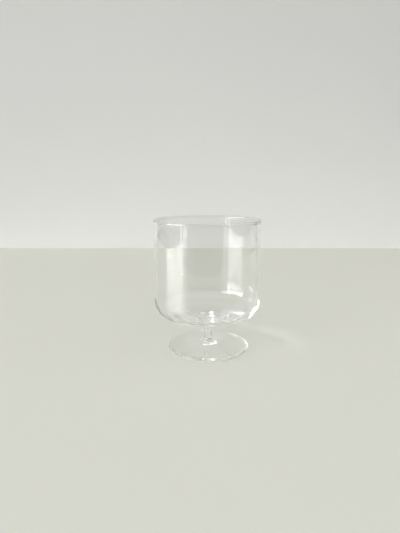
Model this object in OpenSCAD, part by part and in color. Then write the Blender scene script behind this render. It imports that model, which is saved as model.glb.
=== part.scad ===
// Water goblet: a clear drinking glass with a straight-sided bowl on a short stem and a flat foot.
// It stands on z = 0 and its axis is Z. The bowl, stem and foot are three lots of glass that meet
// face to face on two flat seams, each part of the way round a fillet, so the outline runs on smoothly.

/* [Overall] */
// Height from the table to the top of the lip
overall_h = 102; // [90:0.5:130]

/* [Bowl] */
// Outside diameter of the bowl at its widest, just above the round corner
bowl_d = 82.5; // [70:0.5:95]
// Thickness of the upright wall, which the lip rounds over
bowl_wall = 1.1; // [0.8:0.1:2]
// Angle at which the wall leans in towards the lip, in degrees
bowl_lean = 0.45; // [0:0.05:1.5]
// Thickness of the floor beside the round corner
bowl_floor = 1.6; // [1.2:0.1:3]
// How far the inside of the floor rises in the middle, above its lowest ring
bowl_floor_rise = 0.9; // [0.2:0.1:2]
// Height of the underside above the table, at the axis
bowl_under_z = 25.2; // [22:0.1:32]
// Outside radius of the round corner between the wall and the underside
bowl_corner_r = 11.3; // [8:0.1:16]
// Angle at which the domed underside meets the corner, in degrees
bowl_under_slope = 6; // [2:0.5:12]

/* [Stem] */
// Diameter of the stem at its waist
stem_d = 5.6; // [5:0.1:9]
// Radius of the fillet that spreads the stem into the bowl's underside
stem_upper_fillet_r = 6; // [4:0.1:8]
// Radius of the fillet that spreads the stem into the foot
stem_lower_fillet_r = 5; // [3:0.1:7]
// How far round each fillet its seam lies, from the waist, in degrees
stem_seam_turn = 40; // [20:1:60]

/* [Foot] */
// Diameter of the foot
foot_d = 64; // [54:0.5:78]
// Thickness of the foot's rounded edge
foot_edge_t = 1; // [0.8:0.1:2]
// Radius of the roll by which the top of the foot falls to its edge
foot_roll_r = 8; // [5:0.5:12]
// Angle at which that roll meets the edge, in degrees
foot_roll_slope = 20; // [12:1:30]
// Angle at which the top of the foot rises towards the stem, in degrees
foot_slope = 3; // [1:0.5:6]
// Width of the flat ring that the foot stands on, inside the rounded edge
foot_rest_w = 5; // [3:0.5:10]
// Height of the hollow under the foot, at the axis
foot_hollow_h = 0.9; // [0.4:0.1:1.4]

/* [Hidden] */
// Fineness of round shapes, and of the wide shallow dome and floor of the bowl
$fn = 128;
dome_fn = 512;
// How far cutting shapes run past what they cut
overrun = 1;
// Clear glass, as seen against a pale table
glass_colour = [0.86, 0.88, 0.87, 0.55];

// Bowl: the corner's centre lies on the line from the dome's centre to where corner and dome meet
bowl_r = bowl_d / 2;
corner_x = bowl_r - bowl_corner_r;
corner_to_dome = corner_x / sin(bowl_under_slope);
dome_r = corner_to_dome + bowl_corner_r;
dome_z = bowl_under_z + dome_r;
corner_z = dome_z - corner_to_dome * cos(bowl_under_slope);
// The inside follows the outside at the wall's thickness, raised so that the floor is thicker
inside_lift = bowl_floor - bowl_wall;
inside_r = bowl_corner_r - bowl_wall;
inside_z = corner_z + inside_lift;
// Its floor is a shallow mound that touches the inside of the round corner
mound_turn = 2 * atan(bowl_floor_rise / corner_x);
mound_r = corner_x / sin(mound_turn) - inside_r;
mound_top_z = inside_z - inside_r + bowl_floor_rise;
mound_touch = [corner_x - inside_r * sin(mound_turn), inside_z - inside_r * cos(mound_turn)];
// Lip: a round that touches both faces of the leaning wall
lip_r = (bowl_wall - inside_lift * sin(bowl_lean)) / 2;
lip_z = overall_h - lip_r;
lip_x = corner_x + (bowl_corner_r - lip_r - (lip_z - corner_z) * sin(bowl_lean)) / cos(bowl_lean);

// Stem: each fillet's circle touches the waist, and the dome above or the foot's top below
stem_r = stem_d / 2;
upper_x = stem_r + stem_upper_fillet_r;
upper_z = dome_z - sqrt(pow(dome_r + stem_upper_fillet_r, 2) - pow(upper_x, 2));
upper_seam_z = upper_z + stem_upper_fillet_r * sin(stem_seam_turn);
// Where the upper fillet meets the dome, as a share of the way from the dome's centre to the fillet's
upper_touch_share = dome_r / (dome_r + stem_upper_fillet_r);
upper_touch = [upper_x * upper_touch_share, dome_z + (upper_z - dome_z) * upper_touch_share];

// Foot: its top is a cone that runs into a roll, which runs into the rounded edge
edge_r = foot_edge_t / 2;
edge_x = foot_d / 2 - edge_r;
roll_centre = [
    edge_x - (foot_roll_r - edge_r) * sin(foot_roll_slope),
    edge_r - (foot_roll_r - edge_r) * cos(foot_roll_slope),
];
edge_touch = roll_point(foot_roll_slope, foot_roll_r);
roll_touch = roll_point(foot_slope, foot_roll_r);
// Where the lines along the two ends of the roll would meet
roll_peak = roll_point(
    (foot_roll_slope + foot_slope) / 2,
    foot_roll_r / cos((foot_roll_slope - foot_slope) / 2)
);
foot_peak_z = roll_touch[1] + roll_touch[0] * tan(foot_slope);
hollow_x = edge_x - foot_rest_w;

lower_x = stem_r + stem_lower_fillet_r;
lower_z = foot_peak_z - lower_x * tan(foot_slope) + stem_lower_fillet_r / cos(foot_slope);
lower_seam_z = lower_z - stem_lower_fillet_r * sin(stem_seam_turn);
lower_touch = [
    lower_x - stem_lower_fillet_r * sin(foot_slope),
    lower_z - stem_lower_fillet_r * cos(foot_slope),
];

// Point beside the centre of the foot's roll, at an angle from upright
function roll_point(turn, from_centre) = roll_centre + from_centre * [sin(turn), cos(turn)];

// Half outline of a filled cup down to its round corner, with a top that is square to the wall
module cup_outline(corner_r, centre_z, top_z) {
    top_x = corner_x + (corner_r - (top_z - centre_z) * sin(bowl_lean)) / cos(bowl_lean);
    polygon([
        [0, centre_z],
        [corner_x, centre_z],
        [corner_x + corner_r * cos(bowl_lean), centre_z + corner_r * sin(bowl_lean)],
        [top_x, top_z],
        [0, top_z - top_x * tan(bowl_lean)],
    ]);
    translate([corner_x, centre_z])
        circle(r = corner_r);
}

// Half outline of the bowl's outside, filled, with its domed underside
module bowl_outside() {
    low_z = bowl_under_z - overrun;
    cup_outline(bowl_corner_r, corner_z, lip_z + lip_r * sin(bowl_lean));
    intersection() {
        translate([0, dome_z])
            circle(r = dome_r, $fn = dome_fn);
        polygon([
            [0, corner_z],
            [corner_x, corner_z],
            [corner_x + (corner_z - low_z) * tan(bowl_under_slope), low_z],
            [0, low_z],
        ]);
    }
}

// Half outline of the space inside the bowl, over its mounded floor
module bowl_inside() {
    cup_outline(inside_r, inside_z, overall_h + overrun);
    difference() {
        polygon([
            [0, inside_z],
            [corner_x, inside_z],
            mound_touch,
            [0, mound_touch[1]],
        ]);
        translate([0, mound_top_z - mound_r])
            circle(r = mound_r, $fn = dome_fn);
    }
}

// Half outline of the glass under the bowl, from the upper seam up into the floor
module bowl_button_outline() {
    difference() {
        polygon([
            [0, upper_seam_z],
            [upper_x, upper_seam_z],
            upper_touch,
            [0, bowl_under_z + bowl_floor / 2],
        ]);
        translate([upper_x, upper_z])
            circle(r = stem_upper_fillet_r);
    }
}

// Half outline of the glass on top of the foot, up to the lower seam
module foot_button_outline() {
    difference() {
        polygon([
            [0, (foot_hollow_h + foot_peak_z) / 2],
            lower_touch,
            [lower_x, lower_seam_z],
            [0, lower_seam_z],
        ]);
        translate([lower_x, lower_z])
            circle(r = stem_lower_fillet_r);
    }
}

// Cup with its rounded lip and the button that the stem is stuck to
module bowl() {
    color(glass_colour)
        rotate_extrude() {
            difference() {
                bowl_outside();
                bowl_inside();
            }
            translate([lip_x, lip_z])
                circle(r = lip_r);
            bowl_button_outline();
        }
}

// Rod between the two seams, with the first part of each flare
module stem() {
    color(glass_colour)
        rotate_extrude()
            difference() {
                translate([0, lower_seam_z])
                    square([min(upper_x, lower_x), upper_seam_z - lower_seam_z]);
                translate([upper_x, upper_z])
                    circle(r = stem_upper_fillet_r);
                translate([lower_x, lower_z])
                    circle(r = stem_lower_fillet_r);
                translate([stem_r, lower_z])
                    square([bowl_r, upper_z - lower_z]);
            }
}

// Disc with a low cone on top that rolls down to a rounded edge, and a shallow hollow cone underneath
module foot() {
    color(glass_colour)
        rotate_extrude() {
            polygon([
                [0, foot_hollow_h],
                [hollow_x, 0],
                [edge_x, 0],
                edge_touch,
                roll_touch,
                [0, foot_peak_z],
            ]);
            translate([edge_x, edge_r])
                circle(r = edge_r);
            intersection() {
                translate(roll_centre)
                    circle(r = foot_roll_r);
                polygon([edge_touch, roll_peak, roll_touch]);
            }
            foot_button_outline();
        }
}

bowl();
stem();
foot();
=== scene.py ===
import math

import bmesh
import bpy
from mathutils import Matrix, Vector, noise


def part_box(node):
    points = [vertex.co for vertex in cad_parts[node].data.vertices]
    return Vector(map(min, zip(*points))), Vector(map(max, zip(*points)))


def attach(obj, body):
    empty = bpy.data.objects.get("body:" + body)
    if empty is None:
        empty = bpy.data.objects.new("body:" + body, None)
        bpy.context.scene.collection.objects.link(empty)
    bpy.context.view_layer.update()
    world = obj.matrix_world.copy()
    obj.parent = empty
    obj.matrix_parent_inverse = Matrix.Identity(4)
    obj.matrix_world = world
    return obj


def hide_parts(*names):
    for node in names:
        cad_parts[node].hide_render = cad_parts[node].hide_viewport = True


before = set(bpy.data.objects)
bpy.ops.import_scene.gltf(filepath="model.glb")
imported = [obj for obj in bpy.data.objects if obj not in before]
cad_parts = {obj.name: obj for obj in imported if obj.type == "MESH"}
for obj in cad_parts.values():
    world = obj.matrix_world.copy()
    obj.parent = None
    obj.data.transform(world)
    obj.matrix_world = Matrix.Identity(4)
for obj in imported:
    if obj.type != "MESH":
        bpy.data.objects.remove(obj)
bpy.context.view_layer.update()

# Sizes of the glass, in metres. Its widths, the lip's top and the seams come from the frame.
BOWL_WALL = 0.0011
BOWL_LEAN = math.radians(0.45)
BOWL_FLOOR = 0.0016
BOWL_FLOOR_RISE = 0.0009
BOWL_UNDER_Z = 0.0252
BOWL_CORNER_R = 0.0113
BOWL_UNDER_SLOPE = math.radians(6)
LIP_BEAD_R = 0.00085
LIP_NECK_H = 0.0014
STEM_R = 0.0028
UPPER_FILLET_R = 0.006
LOWER_FILLET_R = 0.005
FOOT_EDGE_T = 0.001
FOOT_ROLL_R = 0.008
FOOT_ROLL_SLOPE = math.radians(20)
FOOT_SLOPE = math.radians(3)
FOOT_REST_W = 0.005
FOOT_HOLLOW_H = 0.0009

BOWL_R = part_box("bowl")[1].y
LIP_TOP_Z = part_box("bowl")[1].z
FOOT_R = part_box("foot")[1].y
UPPER_SEAM_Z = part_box("stem")[1].z
LOWER_SEAM_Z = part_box("stem")[0].z

# Directions in a section: angle 0 points down and grows outwards, away from the axis
OUTWARDS = math.pi / 2
UPWARDS = math.pi
INWARDS = -math.pi / 2

# Centres of the arcs that make the outline, as in the solids, and the bead on the lip
CORNER_X = BOWL_R - BOWL_CORNER_R
CORNER_TO_DOME = CORNER_X / math.sin(BOWL_UNDER_SLOPE)
DOME_R = CORNER_TO_DOME + BOWL_CORNER_R
DOME_Z = BOWL_UNDER_Z + DOME_R
CORNER_Z = DOME_Z - CORNER_TO_DOME * math.cos(BOWL_UNDER_SLOPE)
INSIDE_LIFT = BOWL_FLOOR - BOWL_WALL
INSIDE_R = BOWL_CORNER_R - BOWL_WALL
INSIDE_Z = CORNER_Z + INSIDE_LIFT
MOUND_TURN = 2 * math.atan(BOWL_FLOOR_RISE / CORNER_X)
MOUND_R = CORNER_X / math.sin(MOUND_TURN) - INSIDE_R
MOUND_TOP_Z = INSIDE_Z - INSIDE_R + BOWL_FLOOR_RISE
LIP_R = (BOWL_WALL - INSIDE_LIFT * math.sin(BOWL_LEAN)) / 2
LIP_Z = LIP_TOP_Z - LIP_R
LIP_LEAN = (LIP_Z - CORNER_Z) * math.sin(BOWL_LEAN)
LIP_X = CORNER_X + (BOWL_CORNER_R - LIP_R - LIP_LEAN) / math.cos(BOWL_LEAN)
BEAD_Z = LIP_TOP_Z - LIP_BEAD_R
UPPER_X = STEM_R + UPPER_FILLET_R
UPPER_Z = DOME_Z - math.sqrt((DOME_R + UPPER_FILLET_R) ** 2 - UPPER_X ** 2)
EDGE_R = FOOT_EDGE_T / 2
EDGE_X = FOOT_R - EDGE_R
HOLLOW_X = EDGE_X - FOOT_REST_W
ROLL_X = EDGE_X - (FOOT_ROLL_R - EDGE_R) * math.sin(FOOT_ROLL_SLOPE)
ROLL_Z = EDGE_R - (FOOT_ROLL_R - EDGE_R) * math.cos(FOOT_ROLL_SLOPE)
ROLL_TOUCH_X = ROLL_X + FOOT_ROLL_R * math.sin(FOOT_SLOPE)
FOOT_PEAK_Z = ROLL_Z + FOOT_ROLL_R * math.cos(FOOT_SLOPE) + ROLL_TOUCH_X * math.tan(FOOT_SLOPE)
LOWER_X = STEM_R + LOWER_FILLET_R
LOWER_Z = FOOT_PEAK_Z - LOWER_X * math.tan(FOOT_SLOPE) + LOWER_FILLET_R / math.cos(FOOT_SLOPE)

# How far round each fillet the seam lies, and where the fillet ends on the dome or on the foot
UPPER_SEAM_TURN = math.asin((UPPER_SEAM_Z - UPPER_Z) / UPPER_FILLET_R)
UPPER_TOUCH_TURN = math.atan2(DOME_Z - UPPER_Z, UPPER_X)
LOWER_SEAM_TURN = math.asin((LOWER_Z - LOWER_SEAM_Z) / LOWER_FILLET_R)
LOWER_TOUCH_TURN = math.pi / 2 - FOOT_SLOPE

# Fineness of the meshes: steps round the axis and along each stretch of a section
TURN_STEPS = 192
SEAM_STEPS = 4
BOWL_FILLET_STEPS = 16
UNDERSIDE_STEPS = 18
CORNER_STEPS = 28
WALL_STEPS = 48
NECK_STEPS = 6
BEAD_STEPS = 16
MOUND_STEPS = 24
FLARE_STEPS = 12
WAIST_STEPS = 24
HOLLOW_STEPS = 24
REST_STEPS = 6
EDGE_STEPS = 12
ROLL_STEPS = 14
CONE_STEPS = 26
FOOT_FILLET_STEPS = 14
# A step beside a seam is this share of a full one, which keeps the shading there true
SHORT_STEP_SHARE = 0.01
# A point of a section that is nearer to the axis than this lies on it
AXIS_REACH = 0.000005

# How far hand-made glass strays from true and the size of its waves, in metres. The lip's waves are
# sized in its radii, and the streaks in the wall by the ring of noise that they are read from.
WALL_WAVE = 0.00002
WALL_WAVE_SIZE = 0.03
BASE_WAVE = 0.0001
BASE_WAVE_SIZE = 0.01
BASE_FADE = 0.008
CORD_WAVE = 0.000012
CORD_RING = 7.0
CORD_LENGTH = 0.05
LIP_WAVE = 0.00015
LIP_WAVE_RADII = 1.3
STEM_WAVE = 0.0004
STEM_WAVE_SIZE = 0.003
FOOT_WAVE = 0.00012
FOOT_WAVE_SIZE = 0.022
FOOT_ASIDE = 0.0012
SEAM_FADE = 0.012
STEM_FADE = 0.004
EDGE_FADE = 0.006
# Seeds that give each surface waves of its own
INSIDE_SEED = 3.1
OUTSIDE_SEED = 7.7
LIP_SEED = 5.3
STEM_SEED = 2.3
FOOT_SEED = 9.1

# Material slots of a piece
GLASS, SEAM, LIP = 0, 1, 2


# Outlines

def steps(count, short_start=False, short_end=False):
    """Even steps from 0 to 1, with a very short one at an end that meets a seam."""
    found = [i / count for i in range(count + 1)]
    if short_start:
        found.insert(1, SHORT_STEP_SHARE / count)
    if short_end:
        found.insert(-1, 1 - SHORT_STEP_SHARE / count)
    return found


def arc(centre, radius, start, end, at):
    """Points of an arc."""
    turns = [start + (end - start) * s for s in at]
    return [(centre[0] + radius * math.sin(t), centre[1] - radius * math.cos(t)) for t in turns]


def line(start, end, at):
    """Points of a straight stretch."""
    return [(start[0] + (end[0] - start[0]) * s, start[1] + (end[1] - start[1]) * s) for s in at]


def ease(share):
    """Smooth step from 0 to 1."""
    share = min(max(share, 0.0), 1.0)
    return share * share * (3 - 2 * share)


def lip_neck(side):
    """Points up one side of the lip's neck, where the wall swells into the fire-rounded bead."""
    swell = LIP_BEAD_R - LIP_R
    at = steps(NECK_STEPS)
    return [(LIP_X + side * (LIP_R + swell * ease(s)), BEAD_Z + LIP_NECK_H * (s - 1)) for s in at]


def bowl_outline():
    """Stretches of the bowl's section, from the seam out, up the outside, over the lip and down inside."""
    slope = BOWL_UNDER_SLOPE
    wall_out = OUTWARDS + BOWL_LEAN
    fillet_from = INWARDS - UPPER_SEAM_TURN
    fillet_to = INWARDS - UPPER_TOUCH_TURN
    fillet_steps = steps(BOWL_FILLET_STEPS, short_start=True)
    fillet = arc((UPPER_X, UPPER_Z), UPPER_FILLET_R, fillet_from, fillet_to, fillet_steps)
    underside_from = math.pi / 2 - UPPER_TOUCH_TURN
    underside = arc((0, DOME_Z), DOME_R, underside_from, slope, steps(UNDERSIDE_STEPS))
    outer_corner = arc((CORNER_X, CORNER_Z), BOWL_CORNER_R, slope, wall_out, steps(CORNER_STEPS))
    neck_out = lip_neck(1)
    bead = arc((LIP_X, BEAD_Z), LIP_BEAD_R, OUTWARDS, OUTWARDS + UPWARDS, steps(BEAD_STEPS))
    neck_in = lip_neck(-1)[::-1]
    inner_corner = arc((CORNER_X, INSIDE_Z), INSIDE_R, wall_out, -MOUND_TURN, steps(CORNER_STEPS))
    mound_centre = (0, MOUND_TOP_Z - MOUND_R)
    mound = arc(mound_centre, MOUND_R, UPWARDS - MOUND_TURN, UPWARDS, steps(MOUND_STEPS))
    return [
        (line((0, UPPER_SEAM_Z), fillet[0], steps(SEAM_STEPS)), SEAM),
        (fillet, GLASS),
        (underside, GLASS),
        (outer_corner, GLASS),
        (line(outer_corner[-1], neck_out[0], steps(WALL_STEPS)), GLASS),
        (neck_out, LIP),
        (bead, LIP),
        (neck_in, LIP),
        (line(neck_in[-1], inner_corner[0], steps(WALL_STEPS)), GLASS),
        (inner_corner, GLASS),
        (mound, GLASS),
    ]


def stem_outline():
    """Stretches of the stem's section, from the lower seam to the upper one."""
    low_from = INWARDS + LOWER_SEAM_TURN
    low_steps = steps(FLARE_STEPS, short_start=True)
    flare_low = arc((LOWER_X, LOWER_Z), LOWER_FILLET_R, low_from, INWARDS, low_steps)
    high_to = INWARDS - UPPER_SEAM_TURN
    high_steps = steps(FLARE_STEPS, short_end=True)
    flare_high = arc((UPPER_X, UPPER_Z), UPPER_FILLET_R, INWARDS, high_to, high_steps)
    return [
        (line((0, LOWER_SEAM_Z), flare_low[0], steps(SEAM_STEPS)), SEAM),
        (flare_low, GLASS),
        (line(flare_low[-1], flare_high[0], steps(WAIST_STEPS)), GLASS),
        (flare_high, GLASS),
        (line(flare_high[-1], (0, UPPER_SEAM_Z), steps(SEAM_STEPS)), SEAM),
    ]


def foot_outline():
    """Stretches of the foot's section, from the hollow out, round the edge and up to the lower seam."""
    roll_from = UPWARDS - FOOT_ROLL_SLOPE
    roll_to = UPWARDS - FOOT_SLOPE
    edge = arc((EDGE_X, EDGE_R), EDGE_R, 0, roll_from, steps(EDGE_STEPS))
    roll = arc((ROLL_X, ROLL_Z), FOOT_ROLL_R, roll_from, roll_to, steps(ROLL_STEPS))
    fillet_from = INWARDS + LOWER_TOUCH_TURN
    fillet_to = INWARDS + LOWER_SEAM_TURN
    fillet_steps = steps(FOOT_FILLET_STEPS, short_end=True)
    fillet = arc((LOWER_X, LOWER_Z), LOWER_FILLET_R, fillet_from, fillet_to, fillet_steps)
    return [
        (line((0, FOOT_HOLLOW_H), (HOLLOW_X, 0), steps(HOLLOW_STEPS)), GLASS),
        (line((HOLLOW_X, 0), (EDGE_X, 0), steps(REST_STEPS)), GLASS),
        (edge, GLASS),
        (roll, GLASS),
        (line(roll[-1], fillet[0], steps(CONE_STEPS)), GLASS),
        (fillet, GLASS),
        (line(fillet[-1], (0, LOWER_SEAM_Z), steps(SEAM_STEPS)), SEAM),
    ]


# Small irregularities of glass that was blown and tooled by hand

def strays(place, size, seed):
    """Slow waves over a surface."""
    return noise.noise(place / size + Vector((seed, 0, 0)))


def cords(turn, z, seed):
    """Fine streaks that run up the wall, the finer the larger the ring of noise is."""
    place = Vector((CORD_RING * math.cos(turn), CORD_RING * math.sin(turn), z / CORD_LENGTH + seed))
    return noise.noise(place)


def aside(z):
    """The foot was set a little to one side of the bowl's axis, and the stem bends across to it."""
    share = ease((UPPER_SEAM_Z - z) / (UPPER_SEAM_Z - LOWER_SEAM_Z))
    return Vector((FOOT_ASIDE * share, 0, 0))


def bowl_stray(place, out, turn):
    """How a point of the bowl moves: the wall's thickness and the lip's height vary a little."""
    across = out.x * math.cos(turn) + out.y * math.sin(turn)
    inside = across < 0 or (place.z > BOWL_UNDER_Z and out.z > 0)
    held = 1 if inside else ease((place.z - UPPER_SEAM_Z) / SEAM_FADE)
    seed = INSIDE_SEED if inside else OUTSIDE_SEED
    base = 1 - ease((place.z - CORNER_Z) / BASE_FADE) if inside else 0
    along = WALL_WAVE * strays(place, WALL_WAVE_SIZE, seed) + CORD_WAVE * cords(turn, place.z, seed)
    along += BASE_WAVE * base * strays(place, BASE_WAVE_SIZE, seed)
    level = ease((place.z - CORNER_Z) / (LIP_Z - CORNER_Z))
    round_lip = Vector((math.cos(turn), math.sin(turn), 0))
    rise = LIP_WAVE * strays(round_lip, LIP_WAVE_RADII, LIP_SEED) * level
    return out * along * held + Vector((0, 0, rise))


def stem_stray(place, out, turn):
    """How a point of the stem moves: a drawn rod with slight swellings, fixed at its seams."""
    held = ease(min(UPPER_SEAM_Z - place.z, place.z - LOWER_SEAM_Z) / STEM_FADE)
    return out * STEM_WAVE * strays(place, STEM_WAVE_SIZE, STEM_SEED) * held + aside(place.z)


def foot_stray(place, out, turn):
    """How a point of the foot moves: its faces are a little wavy, but not its seam, rest or edge."""
    from_axis = place.xy.length
    off_seam = ease((from_axis - LOWER_X) / SEAM_FADE)
    off_edge = ease((EDGE_X - from_axis) / EDGE_FADE)
    off_rest = ease(place.z / EDGE_R)
    held = off_seam * off_edge * off_rest
    return out * FOOT_WAVE * strays(place, FOOT_WAVE_SIZE, FOOT_SEED) * held + aside(place.z)


# Meshes

def outward(points, i):
    """Outward direction of the section at one of its points, as a pair."""
    before = points[max(i - 1, 0)]
    after = points[min(i + 1, len(points) - 1)]
    run = after[0] - before[0]
    rise = after[1] - before[1]
    length = math.hypot(run, rise)
    return rise / length, -run / length


def turned(name, outline, stray, materials):
    """A closed round piece: a section turned about the axis, each point of which strays a little."""
    points = []
    slots = []
    for stretch, slot in outline:
        points += stretch if not points else stretch[1:]
        slots += [slot] * (len(stretch) - 1)
    body = bmesh.new()
    rings = []
    for i, (x, z) in enumerate(points):
        across, up = outward(points, i)
        if x < AXIS_REACH:
            place = Vector((0, 0, z))
            rings.append([body.verts.new(place + stray(place, Vector((0, 0, up)), 0))] * TURN_STEPS)
            continue
        ring = []
        for k in range(TURN_STEPS):
            turn = 2 * math.pi * k / TURN_STEPS
            place = Vector((x * math.cos(turn), x * math.sin(turn), z))
            out = Vector((across * math.cos(turn), across * math.sin(turn), up))
            ring.append(body.verts.new(place + stray(place, out, turn)))
        rings.append(ring)
    for i, slot in enumerate(slots):
        for k in range(TURN_STEPS):
            after = (k + 1) % TURN_STEPS
            corners = [rings[i][k], rings[i][after], rings[i + 1][after], rings[i + 1][k]]
            face = body.faces.new(list(dict.fromkeys(corners)))
            face.material_index = slot
            face.smooth = slot != SEAM
    for edge in body.edges:
        edge.smooth = all(face.smooth for face in edge.link_faces)
    bmesh.ops.recalc_face_normals(body, faces=body.faces)
    mesh = bpy.data.meshes.new(name)
    body.to_mesh(mesh)
    body.free()
    for material in materials:
        mesh.materials.append(material)
    piece = bpy.data.objects.new(name, mesh)
    bpy.context.scene.collection.objects.link(piece)
    return piece


# Materials

GLASS_IOR = 1.5
BOWL_TINT = (0.993, 0.995, 0.992)
STEM_TINT = (0.992, 0.995, 0.992)
FOOT_TINT = (0.992, 0.994, 0.991)
# The lip's glass is tinted darker: a little for the long way that light takes round in it, mostly painted
# shade that draws the rim as a dark line
LIP_PAINTED_SHADE_TINT = (0.93, 0.935, 0.93)
SMEAR_DETAIL = 4
SMEAR_START = 0.5
SMEAR_FULL = 0.8
SMEAR_ROUGHNESS = 0.03
RIPPLE_DETAIL = 1
RIPPLE_STRENGTH = 0.15
RIPPLE_DEPTH = 0.0002
MOTTLE_SCALE = 6
MOTTLE_DETAIL = 5
# Light Path counts reflections in whole numbers, so this parts none from one or more
ANY_REFLECTION = 0.5


def new_material(name):
    """A material with only its output node."""
    material = bpy.data.materials.new(name)
    material.use_nodes = True
    nodes = material.node_tree.nodes
    nodes.clear()
    return material, nodes, material.node_tree.links, nodes.new("ShaderNodeOutputMaterial")


def clear_glass(name, tint, smear_scale, ripple_scale):
    """Clear glass with faint smears in its polish and slow ripples in its surface."""
    material, nodes, links, output = new_material(name)
    shader = nodes.new("ShaderNodeBsdfPrincipled")
    shader.inputs["Base Color"].default_value = (*tint, 1)
    shader.inputs["IOR"].default_value = GLASS_IOR
    shader.inputs["Transmission Weight"].default_value = 1
    where = nodes.new("ShaderNodeTexCoord")
    smears = nodes.new("ShaderNodeTexNoise")
    smears.inputs["Scale"].default_value = smear_scale
    smears.inputs["Detail"].default_value = SMEAR_DETAIL
    polish = nodes.new("ShaderNodeMapRange")
    polish.inputs["From Min"].default_value = SMEAR_START
    polish.inputs["From Max"].default_value = SMEAR_FULL
    polish.inputs["To Min"].default_value = 0
    polish.inputs["To Max"].default_value = SMEAR_ROUGHNESS
    ripples = nodes.new("ShaderNodeTexNoise")
    ripples.inputs["Scale"].default_value = ripple_scale
    ripples.inputs["Detail"].default_value = RIPPLE_DETAIL
    bump = nodes.new("ShaderNodeBump")
    bump.inputs["Strength"].default_value = RIPPLE_STRENGTH
    bump.inputs["Distance"].default_value = RIPPLE_DEPTH
    links.new(where.outputs["Object"], smears.inputs["Vector"])
    links.new(where.outputs["Object"], ripples.inputs["Vector"])
    links.new(smears.outputs["Fac"], polish.inputs["Value"])
    links.new(polish.outputs["Result"], shader.inputs["Roughness"])
    links.new(ripples.outputs["Fac"], bump.inputs["Height"])
    links.new(bump.outputs["Normal"], shader.inputs["Normal"])
    links.new(shader.outputs["BSDF"], output.inputs["Surface"])
    return material


def fused_seam(name):
    """The face where two lots of glass are fused, which light passes as if it weren't there."""
    material, nodes, links, output = new_material(name)
    shader = nodes.new("ShaderNodeBsdfTransparent")
    links.new(shader.outputs["BSDF"], output.inputs["Surface"])
    return material


def plain_matt(name, colour, roughness, gloss, mottle):
    """A plain surface for the stage, with a faint mottle."""
    material, nodes, links, output = new_material(name)
    shader = nodes.new("ShaderNodeBsdfPrincipled")
    shader.inputs["Roughness"].default_value = roughness
    shader.inputs["Specular IOR Level"].default_value = gloss
    where = nodes.new("ShaderNodeTexCoord")
    cloud = nodes.new("ShaderNodeTexNoise")
    cloud.inputs["Scale"].default_value = MOTTLE_SCALE
    cloud.inputs["Detail"].default_value = MOTTLE_DETAIL
    shade = nodes.new("ShaderNodeValToRGB")
    stops = shade.color_ramp.elements
    stops[0].color = (*[c * (1 - mottle) for c in colour], 1)
    stops[1].color = (*[c * (1 + mottle) for c in colour], 1)
    links.new(where.outputs["Object"], cloud.inputs["Vector"])
    links.new(cloud.outputs["Fac"], shade.inputs["Fac"])
    links.new(shade.outputs["Color"], shader.inputs["Base Color"])
    links.new(shader.outputs["BSDF"], output.inputs["Surface"])
    return material


def shown_where(material, in_reflections):
    """Shows a stage surface only in reflected light, or else only past the glass and through it."""
    nodes = material.node_tree.nodes
    links = material.node_tree.links
    surface = nodes["Material Output"].inputs["Surface"]
    shader = surface.links[0].from_socket
    path = nodes.new("ShaderNodeLightPath")
    reflections = nodes.new("ShaderNodeMath")
    reflections.operation = "ADD"
    switch = nodes.new("ShaderNodeMath")
    switch.operation = "GREATER_THAN"
    switch.inputs[1].default_value = ANY_REFLECTION
    clear = nodes.new("ShaderNodeBsdfTransparent")
    either = nodes.new("ShaderNodeMixShader")
    links.new(path.outputs["Glossy Depth"], reflections.inputs[0])
    links.new(path.outputs["Diffuse Depth"], reflections.inputs[1])
    links.new(reflections.outputs["Value"], switch.inputs[0])
    links.new(switch.outputs["Value"], either.inputs["Fac"])
    links.new(shader, either.inputs[2 if in_reflections else 1])
    links.new(clear.outputs["BSDF"], either.inputs[1 if in_reflections else 2])
    links.new(either.outputs["Shader"], surface)
    return material


# The three pieces

seam = fused_seam("fused_seam")
bowl_glass = clear_glass("bowl_glass", BOWL_TINT, smear_scale=55, ripple_scale=40)
stem_glass = clear_glass("stem_glass", STEM_TINT, smear_scale=160, ripple_scale=120)
foot_glass = clear_glass("foot_glass", FOOT_TINT, smear_scale=70, ripple_scale=60)
# The lip's material carries that darker tint: painted shade for the rim's dark line
lip_glass_painted_shade = clear_glass("lip_glass_painted_shade", LIP_PAINTED_SHADE_TINT, smear_scale=90, ripple_scale=60)

PIECES = [
    ("bowl", "blown_bowl", bowl_outline, bowl_stray, [bowl_glass, seam, lip_glass_painted_shade]),
    ("stem", "drawn_stem", stem_outline, stem_stray, [stem_glass, seam]),
    ("foot", "tooled_foot", foot_outline, foot_stray, [foot_glass, seam]),
]
for node, name, outline, stray, materials in PIECES:
    piece = turned(name, outline(), stray, materials)
    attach(piece, "root")
    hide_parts(node)


# Stage: a pale floor and the wall behind it, and a satin table of the same colour that the glass mirrors

# The floor and the table lie just below the foot, so that no two faces share a place
FLOOR_DROP = 0.0002
TABLE_DROP = 2 * FLOOR_DROP
FLOOR_HALF = 3.5
TABLE_LEFT = -0.6
TABLE_RIGHT = 0.5
TABLE_FRONT = -0.11
TABLE_CORNER_X = -0.09
TABLE_LEFT_FRONT = -0.65
BACKDROP_Y = 0.513
BACKDROP_HALF = 2.0
BACKDROP_H = 1.6
PALE_FLOOR = (0.662, 0.66, 0.592)
PALE_WALL = (0.72, 0.72, 0.695)
MATT_ROUGHNESS = 0.9
SATIN_ROUGHNESS = 0.3
USUAL_GLOSS = 0.5
FLOOR_MOTTLE = 0.012
WALL_MOTTLE = 0.015
CARD_MOTTLE = 0.01


def panel(name, corners, material):
    """A flat surface of the stage."""
    mesh = bpy.data.meshes.new(name)
    mesh.from_pydata(corners, [], [range(len(corners))])
    mesh.materials.append(material)
    made = bpy.data.objects.new(name, mesh)
    bpy.context.scene.collection.objects.link(made)
    return made


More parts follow.
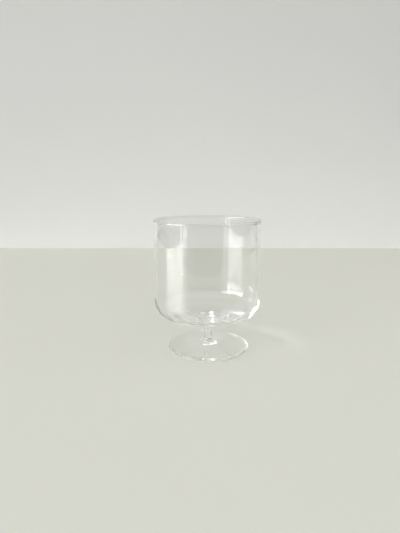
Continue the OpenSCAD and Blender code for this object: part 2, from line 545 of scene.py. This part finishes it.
def floor_corners(z):
    """Corners of the floor, which ends at the wall."""
    return [
        (-FLOOR_HALF, -FLOOR_HALF, z),
        (FLOOR_HALF, -FLOOR_HALF, z),
        (FLOOR_HALF, BACKDROP_Y, z),
        (-FLOOR_HALF, BACKDROP_Y, z),
    ]


def table_corners(z):
    """Corners of the table, which is deeper at the left than in front of the glass."""
    return [
        (TABLE_LEFT, TABLE_LEFT_FRONT, z),
        (TABLE_CORNER_X, TABLE_FRONT, z),
        (TABLE_RIGHT, TABLE_FRONT, z),
        (TABLE_RIGHT, BACKDROP_Y, z),
        (TABLE_LEFT, BACKDROP_Y, z),
    ]


def upright_corners(start, end, low, high):
    """Corners of an upright panel over the stretch between two places on the floor."""
    return [(*start, low), (*end, low), (*end, high), (*start, high)]


table_satin = plain_matt("satin_table", PALE_FLOOR, SATIN_ROUGHNESS, USUAL_GLOSS, FLOOR_MOTTLE)
table_top = shown_where(table_satin, in_reflections=True)
floor_matt = plain_matt("pale_floor", PALE_FLOOR, MATT_ROUGHNESS, 0, FLOOR_MOTTLE)
floor_top = shown_where(floor_matt, in_reflections=False)
wall_paint = plain_matt("pale_wall", PALE_WALL, MATT_ROUGHNESS, USUAL_GLOSS, WALL_MOTTLE)
panel("floor", floor_corners(-FLOOR_DROP), floor_top)
panel("table", table_corners(-TABLE_DROP), table_top)
backdrop_ends = (-BACKDROP_HALF, BACKDROP_Y), (BACKDROP_HALF, BACKDROP_Y)
panel("backdrop", upright_corners(*backdrop_ends, -TABLE_DROP, BACKDROP_H), wall_paint)


# Light: a wide window at the left, a higher one nearer the front, three narrow gaps, a room and two cards

WINDOW_TURN = math.radians(-74)
WINDOW_SPREAD = math.radians(42)
WINDOW_LOW = math.radians(6)
WINDOW_HIGH = math.radians(19)
WINDOW_DISTANCE = 8.0
WINDOW_LEVEL = 8
# The same window once more, just behind, for gloss and glass alone: it lights no matt surface
GLINT_DISTANCE = 8.1
GLINT_LEVEL = 8
UPPER_WINDOW_TURN = math.radians(-50)
UPPER_WINDOW_SPREAD = math.radians(22)
UPPER_WINDOW_HIGH = math.radians(27)
UPPER_WINDOW_LEVEL = 10
GAP_TURNS = [math.radians(-45), math.radians(-49), math.radians(-56)]
GAP_SPREAD = math.radians(1.3)
GAP_LOW = math.radians(-6)
GAP_HIGH = math.radians(-1)
GAP_DISTANCE = 1.5
GAP_LEVEL = 6
# The room's colours, and where the lower two are reached on the way from straight down to straight up
ROOM_LOW = (0.13, 0.13, 0.12, 1)
ROOM_LEVEL = (0.68, 0.69, 0.69, 1)
ROOM_HIGH = (1.12, 1.13, 1.14, 1)
ROOM_LOW_SHARE = 0.45
ROOM_LEVEL_SHARE = 0.52
CARDS_LOW = -1.0
BACK_CARD_ENDS = (-0.55, -0.8), (3.0, -0.8)
BACK_CARD_HIGH = 0.4
BACK_CARD_SHADE = 0.03
SIDE_CARD_ENDS = (0.5, -0.8), (0.5, 0.4)
SIDE_CARD_HIGH = 0.3
SIDE_CARD_SHADE = 0.25
# Light may pass many faces of the glass before it is given up
BOUNCES = 160


def soft_window(name, turn, spread, low, high, distance, level):
    """A soft upright rectangle of light, placed by the angles at which the glass sees it."""
    light = bpy.data.lights.new(name, "AREA")
    light.shape = "RECTANGLE"
    light.size = 2 * distance * math.tan(spread / 2)
    light.size_y = distance * (math.tan(high) - math.tan(low))
    light.energy = level * math.pi * light.size * light.size_y
    made = bpy.data.objects.new(name, light)
    rise = distance * (math.tan(high) + math.tan(low)) / 2
    made.location = (distance * math.sin(turn), -distance * math.cos(turn), rise)
    made.rotation_euler = (math.pi / 2, 0, turn)
    made.visible_camera = False
    bpy.context.scene.collection.objects.link(made)
    return made


def dark_card(name, ends, high, shade):
    """An upright card, behind the camera or at the right of the glass, that only reflections show."""
    grey = plain_matt(name, (shade, shade, shade), MATT_ROUGHNESS, USUAL_GLOSS, CARD_MOTTLE)
    face = shown_where(grey, in_reflections=True)
    made = panel(name, upright_corners(*ends, CARDS_LOW, high), face)
    made.visible_camera = False
    made.visible_diffuse = False
    made.visible_shadow = False


def soft_room():
    """Light from the rest of the room: dim from below the table, pale at eye level, brighter above."""
    world = bpy.data.worlds.new("soft_room")
    world.use_nodes = True
    nodes = world.node_tree.nodes
    links = world.node_tree.links
    where = nodes.new("ShaderNodeTexCoord")
    parts = nodes.new("ShaderNodeSeparateXYZ")
    height = nodes.new("ShaderNodeMapRange")
    height.inputs["From Min"].default_value = -1
    by_height = nodes.new("ShaderNodeValToRGB")
    stops = by_height.color_ramp.elements
    stops[0].position = ROOM_LOW_SHARE
    stops[0].color = ROOM_LOW
    stops[1].color = ROOM_HIGH
    stops.new(ROOM_LEVEL_SHARE).color = ROOM_LEVEL
    links.new(where.outputs["Generated"], parts.inputs["Vector"])
    links.new(parts.outputs["Z"], height.inputs["Value"])
    links.new(height.outputs["Result"], by_height.inputs["Fac"])
    links.new(by_height.outputs["Color"], nodes["Background"].inputs["Color"])
    return world


window_angles = WINDOW_TURN, WINDOW_SPREAD, WINDOW_LOW, WINDOW_HIGH
soft_window("window_left", *window_angles, WINDOW_DISTANCE, WINDOW_LEVEL)
glint = soft_window("window_glint", *window_angles, GLINT_DISTANCE, GLINT_LEVEL)
glint.visible_diffuse = False
upper_angles = UPPER_WINDOW_TURN, UPPER_WINDOW_SPREAD, WINDOW_HIGH, UPPER_WINDOW_HIGH
soft_window("window_upper", *upper_angles, WINDOW_DISTANCE, UPPER_WINDOW_LEVEL)
for turn in GAP_TURNS:
    soft_window("gap_left", turn, GAP_SPREAD, GAP_LOW, GAP_HIGH, GAP_DISTANCE, GAP_LEVEL)
dark_card("back_card", BACK_CARD_ENDS, BACK_CARD_HIGH, BACK_CARD_SHADE)
dark_card("side_card", SIDE_CARD_ENDS, SIDE_CARD_HIGH, SIDE_CARD_SHADE)
bpy.context.scene.world = soft_room()
bpy.context.scene.cycles.blur_glossy = 0
bpy.context.scene.cycles.max_bounces = BOUNCES
bpy.context.scene.cycles.glossy_bounces = BOUNCES
bpy.context.scene.cycles.transmission_bounces = BOUNCES


# Camera, at the photograph's viewing angle: a phone's usual lens, upright frame, looking slightly down

CAMERA_PLACE = (-0.00546, -0.3074, 0.1276)
CAMERA_DOWN = math.radians(11.49)
SENSOR_WIDTH_MM = 36
FOCAL_LENGTH_MM = 27.02
lens = bpy.data.cameras.new("camera")
lens.sensor_width = SENSOR_WIDTH_MM
lens.lens = FOCAL_LENGTH_MM
camera = bpy.data.objects.new("camera", lens)
camera.location = CAMERA_PLACE
camera.rotation_euler = (math.pi / 2 - CAMERA_DOWN, 0, 0)
bpy.context.scene.collection.objects.link(camera)
bpy.context.scene.camera = camera
bpy.context.scene.view_settings.view_transform = "Standard"
